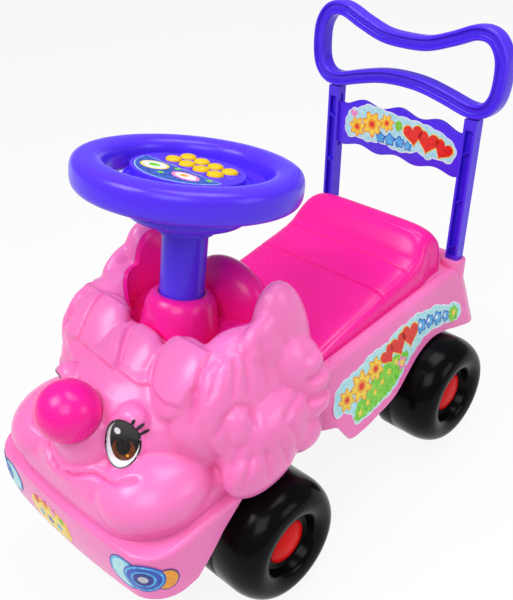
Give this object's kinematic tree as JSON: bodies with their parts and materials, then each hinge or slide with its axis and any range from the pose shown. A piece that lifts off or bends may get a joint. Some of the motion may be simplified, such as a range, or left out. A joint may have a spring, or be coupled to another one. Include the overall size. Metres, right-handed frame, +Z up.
{
  "type": "ride-on walker car",
  "caption": "Ride-on walker car with an animal face, contoured seat, push handle, music keys on a turning steering wheel and four spinning wheels.",
  "frame": {"origin": "on the ground under the middle of the object's bounding box", "axes": "+Z up, -Y the direction of travel (the face looks along -Y), +X the driver's left"},
  "size_m": [0.318, 0.5502, 0.4582],
  "materials": {
    "pink_shell": "gloss",
    "hot_pink_shell": "gloss",
    "violet_shell": "gloss",
    "key_yellow": "satin",
    "black_wheel": "gloss",
    "red_cap": "gloss",
    "steel": "zinc plated",
    "black_yoke": "satin",
    "nylon": "satin",
    "rubber_mat": "matt",
    "board": "satin",
    "speaker_black": "matt"
  },
  "bodies": {
    "body": {"chassis": "pink_shell", "head": "pink_shell", "cowl": "hot_pink_shell", "nose": "hot_pink_shell", "seat": "hot_pink_shell", "handle_loop": "violet_shell", "post_left": "violet_shell", "post_right": "violet_shell", "back_plate": "violet_shell", "column_bush": "nylon", "rear_axle": "steel", "rear_bush_left": "nylon", "rear_bush_right": "nylon"},
    "steering": {"steering_wheel": "violet_shell", "hub_cover": "violet_shell", "hub_screw_1": "steel", "hub_screw_2": "steel", "hub_screw_3": "steel", "sound_box": "violet_shell", "key_mat": "rubber_mat", "circuit_board": "board", "speaker": "speaker_black", "steering_column": "violet_shell", "steering_rod": "steel", "column_pin": "steel", "yoke_pin": "steel", "axle_yoke": "black_yoke", "front_axle": "steel"},
    "wheel_set_front_left": {"wheel_front_left": "black_wheel", "cap_front_left": "red_cap", "push_nut_front_left": "steel"},
    "wheel_set_front_right": {"wheel_front_right": "black_wheel", "cap_front_right": "red_cap", "push_nut_front_right": "steel"},
    "wheel_set_rear_left": {"wheel_rear_left": "black_wheel", "cap_rear_left": "red_cap", "push_nut_rear_left": "steel"},
    "wheel_set_rear_right": {"wheel_rear_right": "black_wheel", "cap_rear_right": "red_cap", "push_nut_rear_right": "steel"},
    "button_key_1": {"key_1": "key_yellow"},
    "button_key_2": {"key_2": "key_yellow"},
    "button_key_3": {"key_3": "key_yellow"},
    "button_key_4": {"key_4": "key_yellow"},
    "button_key_5": {"key_5": "key_yellow"},
    "button_key_6": {"key_6": "key_yellow"},
    "button_key_7": {"key_7": "key_yellow"},
    "button_key_8": {"key_8": "key_yellow"}
  },
  "joints": [
    {"name": "steering_turn", "type": "hinge", "parent": "body", "child": "steering", "pos_m": [0, -0.067, 0.3945], "axis": [0, 0.2588, 0.9659], "range_deg": [-8, 8]},
    {"name": "wheel_spin_front_left", "type": "hinge", "parent": "steering", "child": "wheel_set_front_left", "pos_m": [0.122, -0.127, 0.0655], "axis": [1, 0, 0], "continuous": true},
    {"name": "wheel_spin_front_right", "type": "hinge", "parent": "steering", "child": "wheel_set_front_right", "pos_m": [-0.122, -0.127, 0.0655], "axis": [1, 0, 0], "continuous": true},
    {"name": "wheel_spin_rear_left", "type": "hinge", "parent": "body", "child": "wheel_set_rear_left", "pos_m": [0.122, 0.155, 0.0655], "axis": [1, 0, 0], "continuous": true},
    {"name": "wheel_spin_rear_right", "type": "hinge", "parent": "body", "child": "wheel_set_rear_right", "pos_m": [-0.122, 0.155, 0.0655], "axis": [1, 0, 0], "continuous": true},
    {"name": "press_key_1", "type": "slide", "parent": "steering", "child": "button_key_1", "axis": [0, -0.2588, -0.9659], "range_m": [0, 0.0015], "stiffness_N_per_m": 300, "springref_m": -0.001},
    {"name": "press_key_2", "type": "slide", "parent": "steering", "child": "button_key_2", "axis": [0, -0.2588, -0.9659], "range_m": [0, 0.0015], "stiffness_N_per_m": 300, "springref_m": -0.001},
    {"name": "press_key_3", "type": "slide", "parent": "steering", "child": "button_key_3", "axis": [0, -0.2588, -0.9659], "range_m": [0, 0.0015], "stiffness_N_per_m": 300, "springref_m": -0.001},
    {"name": "press_key_4", "type": "slide", "parent": "steering", "child": "button_key_4", "axis": [0, -0.2588, -0.9659], "range_m": [0, 0.0015], "stiffness_N_per_m": 300, "springref_m": -0.001},
    {"name": "press_key_5", "type": "slide", "parent": "steering", "child": "button_key_5", "axis": [0, -0.2588, -0.9659], "range_m": [0, 0.0015], "stiffness_N_per_m": 300, "springref_m": -0.001},
    {"name": "press_key_6", "type": "slide", "parent": "steering", "child": "button_key_6", "axis": [0, -0.2588, -0.9659], "range_m": [0, 0.0015], "stiffness_N_per_m": 300, "springref_m": -0.001},
    {"name": "press_key_7", "type": "slide", "parent": "steering", "child": "button_key_7", "axis": [0, -0.2588, -0.9659], "range_m": [0, 0.0015], "stiffness_N_per_m": 300, "springref_m": -0.001},
    {"name": "press_key_8", "type": "slide", "parent": "steering", "child": "button_key_8", "axis": [0, -0.2588, -0.9659], "range_m": [0, 0.0015], "stiffness_N_per_m": 300, "springref_m": -0.001}
  ]
}
